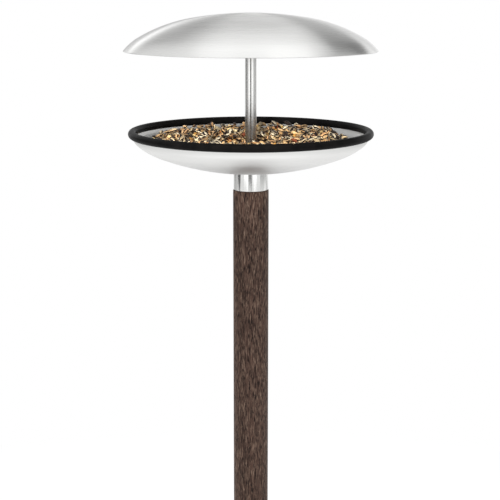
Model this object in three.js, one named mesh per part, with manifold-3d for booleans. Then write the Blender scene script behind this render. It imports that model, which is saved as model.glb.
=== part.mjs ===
// Bird table for a garden: a spun steel dish on a round wooden post, and a spun steel roof on a slim rod.
// Millimetres, +Z up. The origin is on the post's axis at ground level, in the ground flange's underside.
import * as THREE from 'three';
import { mergeVertices } from 'three/addons/utils/BufferGeometryUtils.js';
import Module from 'manifold-3d';

// Shared by all pieces
const seatGap = 0.3; // between two pieces that touch, or of which one fits into the other
const overrun = 1; // how far a cutter runs past the face that it opens
const chordError = 0.15; // most that a facet of a spun sheet lies off its true curve
const weldTolerance = 0.001; // vertices nearer than this are one

// Facets round one turn
const spunSides = 60;
const tubeSides = 36;
const smallSides = 20;
const beadSteps = 14;
const heapSides = spunSides / 2;
const heapSteps = 4;
const heapStride = 3; // the heap's underside takes every third point of the dish's face, from the rim in

// Ground spike: a steel flange on the ground with a full blade and two side fins welded under it
const flange = { radius: 40, thickness: 4, bevel: 1 };
const spike = { length: 250, halfWidth: 25, straightLength: 50, plate: 3, tipHalfWidth: 2 };
const spikeStud = { radius: 6, reach: 42, chamfer: 1 }; // reach is above the flange

// Round post of dark oiled wood, bored at the foot and turned down to a tenon at the top
const post = { radius: 25, length: 1020, footChamfer: 2, topChamfer: 0.8, tenonChamfer: 1 };
const insert = { wall: 2.4, length: 38, barbs: 4, barbHeight: 0.8 }; // threaded sleeve in the post's foot
const drillAllowance = 3; // left past a bolt's end in a hole in the wood

// Collar: a short steel tube over the tenon, with a plate welded across it
const collar = { radius: 24.15, wall: 1.5, height: 25, shadowGap: 0.5 };
const plate = { thickness: 3 };
const gasket = { thickness: 1.5 };
const nut = { acrossFlats: 13, height: 6.5 }; // M8
const screw = { count: 3, circleRadius: 15, radius: 2, headRadius: 4, length: 28, tipLength: 5 };

// Spun dish. Its outer face is three tangent arcs: the crown ends at a share of the rim's radius, the
// shoulder at a share of what is left, and the knuckle at the rim, each at its own slope in degrees.
// A seat is pressed flat in the middle, and past the rim the sheet runs on straight into the bead.
const dish = {
  sheet: 1,
  rimRadius: 163.5,
  crownShare: 0.8,
  shoulderShare: 0.8,
  crownSlope: 20.9,
  shoulderSlope: 38.8,
  rimSlope: 75,
  seatRadius: 24.5,
  edgeReach: 1.5, // past the middle of the bead
};
const bead = { radius: 5.5 }; // round rubber bead, slotted to go over the dish's edge

// Bird seed in the dish: highest in a ring, from which it falls away in a cone to the rod and in a curve to
// the dish's wall. It is modelled as one heap with a hole that the rod and its washer come out through.
const seed = { holeClearance: 1.2, topDrop: 2, hollow: 15, ringRadius: 112, fallRadius: 150, fall: 24 };

// Rod: a steel tube with a plug welded in each end, held down by a stud through the dish
const clampStud = { radius: 4, chamfer: 0.8, nutReach: 2 }; // M8, nutReach is past the nut
const washer = { radius: 11, thickness: 1.5 };
const rod = { radius: 8, wall: 1, length: 205 };
const plug = { length: 20, boreDepth: 14 };

// Spun roof, drawn as the dish is but without a seat, screwed to the rod by a boss welded inside it
const roof = {
  sheet: 1,
  rimRadius: 174.5,
  crownShare: 0.47,
  shoulderShare: 0.774,
  crownSlope: 9.9,
  shoulderSlope: 29.9,
  rimSlope: 51.3,
};
const roofStud = { radius: 3, chamfer: 0.6 }; // M6
const boss = { radius: 15, thickness: 8, boreDepth: 6, bevel: 1.5 };

// The arcs of a spun sheet's outer face, from the axis out: radius of the bend, and the radius, slope and
// drop at which each starts.
function arcsOf(sheet) {
  const crownRadius = sheet.rimRadius * sheet.crownShare;
  const shoulderRadius = crownRadius + (sheet.rimRadius - crownRadius) * sheet.shoulderShare;
  const ends = [
    [crownRadius, sheet.crownSlope],
    [shoulderRadius, sheet.shoulderSlope],
    [sheet.rimRadius, sheet.rimSlope],
  ];
  const arcs = [];
  let start = { radius: 0, slope: 0, drop: 0 };
  for (const [endRadius, endDegrees] of ends) {
    const endSlope = THREE.MathUtils.degToRad(endDegrees);
    const bend = (endRadius - start.radius) / (Math.sin(endSlope) - Math.sin(start.slope));
    arcs.push({ ...start, bend, endSlope });
    const drop = start.drop + bend * (Math.cos(start.slope) - Math.cos(endSlope));
    start = { radius: endRadius, slope: endSlope, drop };
  }
  return arcs;
}

// Radius, slope and drop of the outer face where it reaches a slope.
function pointAt(arc, slope) {
  return {
    radius: arc.radius + arc.bend * (Math.sin(slope) - Math.sin(arc.slope)),
    drop: arc.drop + arc.bend * (Math.cos(arc.slope) - Math.cos(slope)),
    slope,
  };
}

// Points of the outer face from one radius in its first arc out to the rim.
function outerFace(sheet, startRadius) {
  const arcs = arcsOf(sheet);
  arcs[0] = { ...arcs[0], firstSlope: Math.asin(startRadius / arcs[0].bend) };
  const points = [pointAt(arcs[0], arcs[0].firstSlope)];
  for (const arc of arcs) {
    const from = arc.firstSlope ?? arc.slope;
    const steps = Math.ceil((arc.endSlope - from) / (2 * Math.acos(1 - chordError / arc.bend)));
    for (let step = 1; step <= steps; step++) {
      points.push(pointAt(arc, from + ((arc.endSlope - from) * step) / steps));
    }
  }
  return points;
}

// A point of the outer face, moved square to the sheet towards its inner face.
function inset(point, depth) {
  return {
    radius: point.radius - depth * Math.sin(point.slope),
    drop: point.drop + depth * Math.cos(point.slope),
    slope: point.slope,
  };
}

// A point moved along the sheet, outwards.
function along(point, distance) {
  return {
    radius: point.radius + distance * Math.cos(point.slope),
    drop: point.drop + distance * Math.sin(point.slope),
    slope: point.slope,
  };
}

// Heights above the ground, from the flange up
const level = {};
level.flangeTop = flange.thickness;
level.spikeStudTop = level.flangeTop + spikeStud.reach;
level.postFoot = level.flangeTop + seatGap;
level.insertFoot = level.postFoot + seatGap;
level.insertTop = level.insertFoot + insert.length;
level.footBoreTop = Math.max(level.spikeStudTop, level.insertTop) + drillAllowance;
level.shoulder = level.postFoot + post.length;
level.collarFoot = level.shoulder + collar.shadowGap;
level.collarTop = level.collarFoot + collar.height;
level.dishSeat = level.collarTop + seatGap;
level.dishFloor = level.dishSeat + dish.sheet;
level.gasketTop = level.dishSeat - seatGap;
level.gasketFoot = level.gasketTop - gasket.thickness;
level.plateTop = level.gasketFoot - seatGap;
level.plateFoot = level.plateTop - plate.thickness;
level.tenonTop = level.plateFoot - seatGap;
level.nutTop = level.plateFoot - seatGap;
level.nutFoot = level.nutTop - nut.height;
level.clampStudFoot = level.nutFoot - clampStud.nutReach;
level.pocketFloor = level.clampStudFoot - drillAllowance;
level.washerFoot = level.dishFloor + seatGap;
level.washerTop = level.washerFoot + washer.thickness;
level.rodFoot = level.washerTop + seatGap;
level.rodTop = level.rodFoot + rod.length;
level.bossFoot = level.rodTop + seatGap;
level.bossTop = level.bossFoot + boss.thickness;
level.roofTop = level.bossTop + seatGap + roof.sheet;

const tenonRadius = collar.radius - collar.wall - seatGap;
const insertRadius = spikeStud.radius + seatGap + insert.wall;
const footBoreRadius = insertRadius + insert.barbHeight + seatGap;
const pocketRadius = nut.acrossFlats / Math.sqrt(3) + seatGap;
const clampHoleRadius = clampStud.radius + seatGap;
const plugRadius = rod.radius - rod.wall - seatGap;

// Solid of revolution about Z. The outline's [radius, height] points run anticlockwise, and start and end on
// the axis or close on themselves.
function revolve(outline, sides) {
  const points = outline.map(([radius, height]) => new THREE.Vector2(radius, height));
  if (outline[0][0] > 0) points.push(points[0].clone());
  return new THREE.LatheGeometry(points, sides).rotateX(Math.PI / 2);
}

// Flat plate cut to an outline of [x, z] points, standing in the XZ plane with its thickness about Y = 0.
function uprightPlate(outline, thickness) {
  const shape = new THREE.Shape(outline.map(([x, z]) => new THREE.Vector2(x, z)));
  const geometry = new THREE.ExtrudeGeometry(shape, { depth: thickness, bevelEnabled: false });
  return geometry.translate(0, 0, -thickness / 2).rotateX(Math.PI / 2);
}

const wasm = await Module();
wasm.setup();

// Closed geometry to a solid for joining and cutting, and back.
function solidOf(geometry) {
  const bare = geometry.clone();
  bare.deleteAttribute('normal');
  bare.deleteAttribute('uv');
  const merged = mergeVertices(bare, weldTolerance);
  const triVerts = [];
  const index = merged.index.array;
  for (let i = 0; i < index.length; i += 3) {
    const [a, b, c] = [index[i], index[i + 1], index[i + 2]];
    if (a !== b && b !== c && a !== c) triVerts.push(a, b, c);
  }
  return new wasm.Manifold(
    new wasm.Mesh({
      numProp: 3,
      vertProperties: new Float32Array(merged.attributes.position.array),
      triVerts: new Uint32Array(triVerts),
    }),
  );
}

function geometryOf(solid) {
  const mesh = solid.getMesh();
  const geometry = new THREE.BufferGeometry();
  geometry.setAttribute('position', new THREE.BufferAttribute(mesh.vertProperties, 3));
  geometry.setIndex(new THREE.BufferAttribute(mesh.triVerts, 1));
  geometry.computeVertexNormals();
  return geometry;
}

function cut(geometry, cutters) {
  let solid = solidOf(geometry);
  for (const cutter of cutters) solid = solid.subtract(solidOf(cutter));
  return geometryOf(solid);
}

// Tube or plain ring between two heights.
function ring(innerRadius, outerRadius, foot, top, sides) {
  const outline = [
    [innerRadius, foot],
    [outerRadius, foot],
    [outerRadius, top],
    [innerRadius, top],
  ];
  return revolve(outline, sides);
}

// Round bar between two heights with both ends chamfered.
function chamferedBar(radius, foot, top, chamfer, sides) {
  const outline = [
    [0, foot],
    [radius - chamfer, foot],
    [radius, foot + chamfer],
    [radius, top - chamfer],
    [radius - chamfer, top],
    [0, top],
  ];
  return revolve(outline, sides);
}

// The spike's edge runs straight down below the flange and then in a straight taper to the tip.
function spikeHalfWidthAt(depth) {
  const taper = (depth - spike.straightLength) / (spike.length - spike.straightLength);
  return spike.halfWidth + (spike.tipHalfWidth - spike.halfWidth) * Math.max(taper, 0);
}

function spikeBlade() {
  const depths = [seatGap, spike.straightLength, spike.length - spike.tipHalfWidth];
  const halfOutline = depths.map((depth) => [spikeHalfWidthAt(depth), -depth]);
  const mirrored = halfOutline.map(([x, z]) => [-x, z]).reverse();
  return uprightPlate([...halfOutline, [0, -spike.length], ...mirrored], spike.plate);
}

// A side fin reaches from the blade's face to the same taper, and stops where it is as narrow as the tip.
function spikeFin(turn) {
  const root = spike.plate / 2 + seatGap;
  const slope = (spike.halfWidth - spike.tipHalfWidth) / (spike.length - spike.straightLength);
  const endDepth = spike.straightLength + (spike.halfWidth - root - spike.tipHalfWidth) / slope;
  const outline = [
    [root, -seatGap],
    [spike.halfWidth, -seatGap],
    [spike.halfWidth, -spike.straightLength],
    [spikeHalfWidthAt(endDepth), -endDepth],
    [root, -endDepth],
  ];
  return uprightPlate(outline, spike.plate).rotateZ(turn);
}

function groundFlange() {
  const hole = spikeStud.radius + seatGap;
  const outline = [
    [hole, 0],
    [flange.radius, 0],
    [flange.radius, level.flangeTop - flange.bevel],
    [flange.radius - flange.bevel, level.flangeTop],
    [hole, level.flangeTop],
  ];
  return revolve(outline, tubeSides);
}

// Threaded stud, welded into the flange, that screws into the post's foot.
function spikeStudBar() {
  return chamferedBar(spikeStud.radius, 0, level.spikeStudTop, spikeStud.chamfer, smallSides);
}

// Sleeve with saw-toothed barbs that hold it in the wood.
function footInsert() {
  const bore = spikeStud.radius + seatGap;
  const pitch = insert.length / insert.barbs;
  const outline = [[bore, level.insertFoot]];
  for (let barb = 0; barb < insert.barbs; barb++) {
    outline.push([insertRadius + insert.barbHeight, level.insertFoot + barb * pitch]);
    outline.push([insertRadius, level.insertFoot + (barb + 1) * pitch]);
  }
  outline.push([bore, level.insertTop]);
  return revolve(outline, tubeSides);
}

// Places of the collar's screws, as turns about the axis.
function screwTurns() {
  return Array.from({ length: screw.count }, (_, i) => (i / screw.count) * 2 * Math.PI + Math.PI / 2);
}

function atScrew(geometry, turn) {
  return geometry.translate(screw.circleRadius * Math.cos(turn), screw.circleRadius * Math.sin(turn), 0);
}

function woodenPost() {
  const outline = [
    [0, level.footBoreTop],
    [footBoreRadius, level.footBoreTop],
    [footBoreRadius, level.postFoot],
    [post.radius - post.footChamfer, level.postFoot],
    [post.radius, level.postFoot + post.footChamfer],
    [post.radius, level.shoulder - post.topChamfer],
    [post.radius - post.topChamfer, level.shoulder],
    [tenonRadius, level.shoulder],
    [tenonRadius, level.tenonTop - post.tenonChamfer],
    [tenonRadius - post.tenonChamfer, level.tenonTop],
    [pocketRadius, level.tenonTop],
    [pocketRadius, level.pocketFloor],
    [0, level.pocketFloor],
  ];
  const pilotRadius = screw.radius + seatGap;
  const pilotFoot = level.plateTop - screw.length - seatGap;
  const pilots = screwTurns().map((turn) => {
    const pilot = ring(0, pilotRadius, pilotFoot, level.tenonTop + overrun, smallSides);
    return atScrew(pilot, turn);
  });
  return cut(revolve(outline, tubeSides), pilots);
}

function collarTube() {
  return ring(collar.radius - collar.wall, collar.radius, level.collarFoot, level.collarTop, tubeSides);
}

// Disc with a hole for the clamping stud and a countersunk hole for each screw.
function collarPlate() {
  const disc = ring(clampHoleRadius, tenonRadius, level.plateFoot, level.plateTop, tubeSides);
  const countersinks = screwTurns().map((turn) => {
    const coneDepth = screw.headRadius - screw.radius;
    const outline = [
      [0, level.plateFoot - overrun],
      [screw.radius + seatGap, level.plateFoot - overrun],
      [screw.radius + seatGap, level.plateTop - coneDepth],
      [screw.headRadius + seatGap, level.plateTop],
      [screw.headRadius + seatGap, level.plateTop + overrun],
      [0, level.plateTop + overrun],
    ];
    return atScrew(revolve(outline, smallSides), turn);
  });
  return cut(disc, countersinks);
}

function collarNut() {
  const corner = nut.acrossFlats / Math.sqrt(3);
  const shape = new THREE.Shape();
  for (let i = 0; i < 6; i++) {
    const turn = (i / 6) * 2 * Math.PI;
    const point = [corner * Math.cos(turn), corner * Math.sin(turn)];
    if (i === 0) shape.moveTo(...point);
    else shape.lineTo(...point);
  }
  shape.closePath();
  shape.holes.push(new THREE.Path().absarc(0, 0, clampHoleRadius, 0, 2 * Math.PI, true));
  const settings = { depth: nut.height, bevelEnabled: false, curveSegments: smallSides / 2 };
  return new THREE.ExtrudeGeometry(shape, settings).translate(0, 0, level.nutFoot);
}

// Countersunk wood screw, head up.
function collarScrew(turn) {
  const foot = level.plateTop - screw.length;
  const outline = [
    [0, foot],
    [screw.radius, foot + screw.tipLength],
    [screw.radius, level.plateTop - (screw.headRadius - screw.radius) - seatGap],
    [screw.headRadius, level.plateTop - seatGap],
    [0, level.plateTop - seatGap],
  ];
  return atScrew(revolve(outline, smallSides), turn);
}

function dishGasket() {
  return ring(clampHoleRadius, tenonRadius, level.gasketFoot, level.gasketTop, tubeSides);
}

// The dish's outer face, and the height at which its crown would meet the axis without the seat.
const dishFace = outerFace(dish, dish.seatRadius);
const dishCrown = level.dishSeat - dishFace[0].drop;
const dishRim = dishFace[dishFace.length - 1];
const dishEdge = along(dishRim, bead.radius + dish.edgeReach);
const dishFloorRadius = dish.seatRadius - dish.sheet * Math.tan(dishFace[0].slope / 2);

function spunDish() {
  const outer = [...dishFace, dishEdge];
  const inner = outer.slice(1).map((point) => inset(point, dish.sheet)).reverse();
  const toHeight = (point) => [point.radius, dishCrown + point.drop];
  const outline = [
    [clampHoleRadius, level.dishSeat],
    ...outer.map(toHeight),
    ...inner.map(toHeight),
    [dishFloorRadius, level.dishFloor],
    [clampHoleRadius, level.dishFloor],
  ];
  return revolve(outline, spunSides);
}

// Middle of the bead's section, on the dish's straight edge.
const beadMiddle = inset(along(dishRim, bead.radius), dish.sheet / 2);

// Round section that just covers the dish's straight edge, with a slot along the sheet that takes it.
function rimBead() {
  const centre = [beadMiddle.radius, dishCrown + beadMiddle.drop];
  const slotHalf = dish.sheet / 2 + seatGap;
  const slotEnd = dish.edgeReach + seatGap;
  const [cos, sin] = [Math.cos(beadMiddle.slope), Math.sin(beadMiddle.slope)];
  const opening = Math.asin(slotHalf / bead.radius);
  const start = beadMiddle.slope + Math.PI + opening;
  const outline = [];
  for (let step = 0; step <= beadSteps; step++) {
    const turn = start + ((2 * Math.PI - 2 * opening) * step) / beadSteps;
    outline.push([centre[0] + bead.radius * Math.cos(turn), centre[1] + bead.radius * Math.sin(turn)]);
  }
  for (const side of [slotHalf, -slotHalf]) {
    outline.push([centre[0] + slotEnd * cos - side * sin, centre[1] + slotEnd * sin + side * cos]);
  }
  return revolve(outline, spunSides);
}

// The heap's section is turned about the axis and kept where it lies inside the dish.
function seedBed() {
  const hole = washer.radius + seed.holeClearance;
  const floor = level.dishFloor + seatGap;
  const top = dishCrown + beadMiddle.drop - seed.topDrop;
  const section = [
    [hole, floor],
    [seed.fallRadius, floor],
  ];
  for (let step = heapSteps; step >= 0; step--) {
    const share = step / heapSteps;
    const radius = seed.ringRadius + (seed.fallRadius - seed.ringRadius) * share;
    section.push([radius, top - seed.fall * share ** 2]);
  }
  section.push([hole, top - seed.hollow]);
  const under = dishFace.filter((_, i) => i > 0 && (dishFace.length - 1 - i) % heapStride === 0);
  const wall = [...under, dishEdge].map((point) => inset(point, dish.sheet + seatGap));
  const inside = [
    [0, floor],
    [dishFloorRadius, floor],
    ...wall.map((point) => [point.radius, dishCrown + point.drop]),
    [0, dishCrown + wall[wall.length - 1].drop],
  ];
  const heap = solidOf(revolve(section, heapSides));
  return geometryOf(heap.intersect(solidOf(revolve(inside, heapSides))));
}

function rodWasher() {
  return ring(clampHoleRadius, washer.radius, level.washerFoot, level.washerTop, tubeSides);
}

function roofRod() {
  return ring(rod.radius - rod.wall, rod.radius, level.rodFoot, level.rodTop, tubeSides);
}

// Plug with a blind bore, from the rod's end inwards. Direction is 1 upwards and -1 downwards.
function rodPlug(endLevel, direction, boreRadius) {
  const boreFloor = endLevel + direction * plug.boreDepth;
  const inside = endLevel + direction * plug.length;
  const outline = [
    [0, boreFloor],
    [boreRadius, boreFloor],
    [boreRadius, endLevel],
    [plugRadius, endLevel],
    [plugRadius, inside],
    [0, inside],
  ];
  return revolve(direction > 0 ? outline : outline.reverse(), tubeSides);
}

function clampingStud() {
  const top = level.rodFoot + plug.boreDepth - seatGap;
  return chamferedBar(clampStud.radius, level.clampStudFoot, top, clampStud.chamfer, smallSides);
}

// Turned boss whose top follows the inside of the roof.
function roofBoss() {
  const boreRadius = roofStud.radius + seatGap;
  const boreTop = level.bossFoot + boss.boreDepth;
  const crown = arcsOf(roof)[0];
  const edge = inset(pointAt(crown, Math.asin(boss.radius / crown.bend)), roof.sheet + seatGap);
  const outline = [
    [0, boreTop],
    [boreRadius, boreTop],
    [boreRadius, level.bossFoot],
    [boss.radius - boss.bevel, level.bossFoot],
    [boss.radius, level.bossFoot + boss.bevel],
    [edge.radius, level.roofTop - edge.drop],
    [0, level.bossTop],
  ];
  return revolve(outline, tubeSides);
}

function roofStudBar() {
  const foot = level.rodTop - plug.boreDepth + seatGap;
  const top = level.bossFoot + boss.boreDepth - seatGap;
  return chamferedBar(roofStud.radius, foot, top, roofStud.chamfer, smallSides);
}

function spunRoof() {
  const face = outerFace(roof, 0);
  const inner = face.map((point) => inset(point, roof.sheet));
  const toHeight = (point) => [point.radius, level.roofTop - point.drop];
  const outline = [...inner.map(toHeight), ...face.map(toHeight).reverse()];
  return revolve(outline, spunSides);
}

// Materials
const brushedSteel = { color: 0xc9c9c7, roughness: 0.32, metalness: 1 };
const plainSteel = { color: 0xa9abad, roughness: 0.45, metalness: 1 };
const darkWood = { color: 0x50423a, roughness: 0.7, metalness: 0 };
const blackRubber = { color: 0x161616, roughness: 0.6, metalness: 0 };
const birdSeed = { color: 0x8c7158, roughness: 0.8, metalness: 0 };

const table = new THREE.Group();

function add(name, geometry, finish) {
  const mesh = new THREE.Mesh(geometry, new THREE.MeshStandardMaterial(finish));
  mesh.name = name;
  table.add(mesh);
}

add('spike_blade', spikeBlade(), plainSteel);
add('spike_fin_back', spikeFin(Math.PI / 2), plainSteel);
add('spike_fin_front', spikeFin(-Math.PI / 2), plainSteel);
add('ground_flange', groundFlange(), plainSteel);
add('spike_stud', spikeStudBar(), plainSteel);
add('post_foot_insert', footInsert(), plainSteel);
add('post', woodenPost(), darkWood);
add('collar_tube', collarTube(), brushedSteel);
add('collar_plate', collarPlate(), plainSteel);
add('collar_nut', collarNut(), plainSteel);
screwTurns().forEach((turn, i) => add(`collar_screw_${i + 1}`, collarScrew(turn), plainSteel));
add('dish_gasket', dishGasket(), blackRubber);
add('dish', spunDish(), brushedSteel);
add('rim_bead', rimBead(), blackRubber);
add('seed_bed', seedBed(), birdSeed);
add('rod_washer', rodWasher(), blackRubber);
add('roof_rod', roofRod(), brushedSteel);
add('rod_foot_plug', rodPlug(level.rodFoot, 1, clampHoleRadius), plainSteel);
add('rod_head_plug', rodPlug(level.rodTop, -1, roofStud.radius + seatGap), plainSteel);
add('clamp_stud', clampingStud(), plainSteel);
add('roof_stud', roofStudBar(), plainSteel);
add('roof_boss', roofBoss(), plainSteel);
add('roof_shell', spunRoof(), brushedSteel);

export default table;
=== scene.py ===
"""Looks of a bird table: a spun steel dish and roof on a dark wooden post, with bird seed in the dish.

Metres and +Z up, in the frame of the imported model. The camera stands where the photograph's stood.
"""
import math
import random

import bmesh
import bpy
import numpy as np
from mathutils import Matrix, Vector


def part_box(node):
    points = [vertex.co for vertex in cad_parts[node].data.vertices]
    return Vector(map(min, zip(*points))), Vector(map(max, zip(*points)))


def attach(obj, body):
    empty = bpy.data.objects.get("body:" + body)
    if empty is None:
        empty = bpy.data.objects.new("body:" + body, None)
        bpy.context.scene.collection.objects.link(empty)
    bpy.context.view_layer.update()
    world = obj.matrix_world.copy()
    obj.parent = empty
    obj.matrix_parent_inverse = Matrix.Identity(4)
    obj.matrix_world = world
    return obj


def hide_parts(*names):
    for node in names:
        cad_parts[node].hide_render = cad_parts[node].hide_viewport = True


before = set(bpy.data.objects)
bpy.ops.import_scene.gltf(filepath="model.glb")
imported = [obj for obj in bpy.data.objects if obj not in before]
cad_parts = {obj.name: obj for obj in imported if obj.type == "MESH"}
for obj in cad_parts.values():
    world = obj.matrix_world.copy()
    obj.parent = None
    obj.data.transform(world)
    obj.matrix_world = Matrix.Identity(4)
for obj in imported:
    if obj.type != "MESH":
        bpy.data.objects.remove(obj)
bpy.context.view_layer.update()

MM = 0.001

# Photograph: square frame, and the camera that its outlines give
PHOTO_PIXELS = 500
FOCAL_PIXELS = 1213
AXIS_PIXEL = 250.9  # column in which the post's axis stands
CAMERA_DISTANCE = 1.680  # in front of the axis
CAMERA_RISE = 0.2002  # above the middle of the dish's bead
CAMERA_PITCH = math.radians(12.31)  # looking down
SENSOR_WIDTH = 36.0  # millimetres, as Blender gives it

# Clearances and edges
SEAT_GAP = 0.3 * MM  # between pieces that touch
SHEET_EDGE = 0.3 * MM  # rounding of a spun sheet's edge
FINE_EDGE = 0.25 * MM  # rounding of a turned edge
SIDE_SHARE = 0.45  # most of a side that the rounding of one corner takes
SHARP_ANGLE = math.radians(32)
FINE_SIDES = 192  # round one turn of the dish, roof and bead
ROUND_SIDES = 96  # round one turn of the post and tubes
SMALL_SIDES = 48  # round one turn of the rod, stud and washer

# Spun sheets: shares and slopes of the arcs of the outer face, as the solids have them
SHEET = 1.0 * MM
DISH_RIM = 163.5 * MM
DISH_SEAT = 24.5 * MM
DISH_SHARES = (0.8, 0.8)
DISH_SLOPES = (20.9, 38.8, 75)
ROOF_SHARES = (0.47, 0.774)
ROOF_SLOPES = (9.9, 29.9, 51.3)
ARC_STEPS = (26, 14, 10)

# Bead on the dish's edge
BEAD_RADIUS = 5.5 * MM
BEAD_STEPS = 40  # round its section
EDGE_REACH = 1.5 * MM  # of the dish's edge past the bead's middle

# Post, collar and rod
POST_EDGE = 1.2 * MM  # rounding of the post's ends
SHADOW_GAP = 0.5 * MM  # from the post's shoulder to the collar
DRILL_ALLOWANCE = 3 * MM  # left past the spike's stud in the post's foot
COLLAR_EDGE = 0.6 * MM  # rounding of the collar's ends
COLLAR_WALL = 1.5 * MM
ROD_WALL = 1.0 * MM

# M8 thread of the stud that clamps the dish
THREAD_PITCH = 1.25 * MM
THREAD_DEPTH = 0.68 * MM
THREAD_CHAMFER = 0.8 * MM
THREAD_ROWS = 4  # of vertices to one pitch, of which one lies in the groove

# Flange, spike and boss
FLANGE_BEVEL = 1.0 * MM
FLANGE_EDGE = 0.4 * MM
BOSS_BEVEL = 1.5 * MM
PLATE_BEVEL = 0.5 * MM
WELD_RADIUS = 1.3 * MM
WELD_SIDES = 8
WELD_RIPPLE = 1.6 * MM  # from one ripple of a weld to the next
WELD_STEPS = 4  # to one ripple
WELD_SWELL = 0.13  # of its radius, at a ripple
WELD_END_SHARE = 0.3  # of its radius, at its ends
WELD_END = 2.0 * MM  # left free at each end of a plate's weld

# Seed bed: a ring of seed, level with the bead, that falls away to the rod and to the dish's wall
BED_TOP = 2.0 * MM  # below the middle of the bead
BED_HOLLOW = 15 * MM  # depth of the hollow at the rod, below the ring
BED_RING_RADIUS = 112 * MM
BED_EDGE_RADIUS = 147 * MM
BED_FALL = 22 * MM  # at its edge
BED_FALL_REACH = 1.2  # of the way from the ring to the edge, over which it falls
BED_LAYER = 12.5 * MM  # loose grains reach this far over the filler
BED_HOLE = 12.2 * MM  # left round the rod and its washer
FILLER_STEPS = 40  # across the filler's top
FILLER_GAP = 0.4 * MM  # under the filler
CELL = 1.0 * MM  # of the height map that the grains are laid on
MAP_MARGIN = 12  # cells round the dish
REST_SHARE = 0.7  # of its half length and width, where a grain rests on others
MAX_LEAN = 0.8  # slope of a grain that lies against others
SINK_SHARE = 0.22  # of its half thickness, by which a grain settles between others
PLACE_TRIES = 4  # places tried for a grain, which takes the lowest
SEED_START = 7  # of the random numbers
BIG_GRAIN = 7.5  # length in millimetres from which a grain tends to lie on top
RISE_SHARE = 0.45  # how strongly it does
GROWTH_SPREAD = 0.1  # of a grain's size
SHAPE_SPREAD = 0.06  # of each of its measures besides
TILT_SPREADS = (0.16, 0.22)  # of its slope along and across, besides the bed's
EDGE_SHARE = 0.4  # of its length, from its middle to the bed's edge
TONES = (0.3, 1.05)  # darkest and lightest grain, as shares of its colour
CHIP_FORMS = 6  # of broken grain
CHIP_SHARES = (0.68, 1.12)  # by which a point of it is shifted
NUT_FLAT = -0.12  # where a split nut is cut, in thicknesses from its middle

STRIPE_COLOURS = ((0.97, 0.74, 0.43), (0.94, 0.6, 0.29), (0.98, 0.83, 0.57), (0.82, 0.46, 0.2))
BLACK_COLOURS = ((0.02, 0.012, 0.01), (0.04, 0.022, 0.014), (0.1, 0.06, 0.04))
WHEAT_COLOURS = ((0.7, 0.34, 0.11), (0.84, 0.52, 0.2), (0.44, 0.17, 0.055), (0.9, 0.64, 0.32))
PALE_COLOURS = ((0.95, 0.74, 0.42), (0.92, 0.61, 0.29), (0.86, 0.52, 0.23), (0.6, 0.31, 0.12))
RED_COLOURS = ((0.32, 0.06, 0.028), (0.5, 0.14, 0.05), (0.2, 0.05, 0.025), (0.72, 0.32, 0.12))
MILLET_COLOURS = ((0.9, 0.68, 0.3), (0.78, 0.45, 0.13), (0.62, 0.18, 0.055))
MAIZE_COLOURS = ((0.86, 0.54, 0.16), (0.93, 0.7, 0.32), (0.94, 0.78, 0.5), (0.78, 0.4, 0.1))
NUT_COLOURS = ((0.9, 0.66, 0.38), (0.82, 0.54, 0.26), (0.38, 0.1, 0.04))

# Grains: group, count, length, width and thickness in millimetres, form and colours
GRAIN_KINDS = (
    ("sunflower", 700, (13.0, 6.4, 4.4), "drop", STRIPE_COLOURS),
    ("sunflower", 240, (11.0, 5.8, 4.2), "drop", BLACK_COLOURS),
    ("grain", 820, (7.4, 3.7, 3.4), "oval", WHEAT_COLOURS),
    ("grain", 620, (9.0, 4.2, 3.7), "oval", PALE_COLOURS),
    ("berry", 360, (4.6, 4.2, 4.0), "ball", RED_COLOURS),
    ("berry", 500, (2.8, 2.6, 2.5), "ball", MILLET_COLOURS),
    ("kernel", 240, (7.8, 6.4, 4.6), "chip", MAIZE_COLOURS),
    ("kernel", 60, (10.0, 7.0, 5.6), "half", NUT_COLOURS),
)


def foot(node):
    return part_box(node)[0].z


def top(node):
    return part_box(node)[1].z


def outer_radius(node):
    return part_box(node)[1].x


def turns(count):
    return [2 * math.pi * i / count for i in range(count)]


def add_object(name, mesh, body, slot, material, *replaced):
    """Puts a mesh in the scene, on its body and in its material, in place of its CAD node. Its slot is
    not used.
    """
    piece = bpy.data.objects.new(name, mesh)
    bpy.context.scene.collection.objects.link(piece)
    mesh.materials.append(material)
    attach(piece, body)
    if replaced:
        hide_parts(*replaced)


def smooth_mesh(name, points, faces):
    """Mesh that is smooth apart from edges sharper than SHARP_ANGLE."""
    mesh = bpy.data.meshes.new(name)
    mesh.from_pydata(points, [], faces)
    mesh.validate()
    mesh.update()
    mesh.shade_smooth()
    mesh.set_sharp_from_angle(angle=SHARP_ANGLE)
    return mesh


def rounded(outline, radius, steps=4):
    """Closed outline with its corners rounded to this radius, or to less where a side is short."""
    points = [np.array(point, float) for point in outline]
    result = []
    for i, corner in enumerate(points):
        before = points[i - 1] - corner
        after = points[(i + 1) % len(points)] - corner
        before_length, after_length = np.linalg.norm(before), np.linalg.norm(after)
        before, after = before / before_length, after / after_length
        opening = math.acos(np.clip(before @ after, -1, 1))
        on_axis = corner[0] <= 0
        if on_axis or opening > math.pi - SHARP_ANGLE:
            result.append(tuple(corner))
            continue
        reach = min(radius / math.tan(opening / 2), SIDE_SHARE * before_length, SIDE_SHARE * after_length)
        start, end = corner + before * reach, corner + after * reach
        for step in range(steps + 1):
            share = step / steps
            bend = (1 - share) ** 2 * start + 2 * share * (1 - share) * corner + share**2 * end
            result.append(tuple(bend))
    return result


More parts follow.
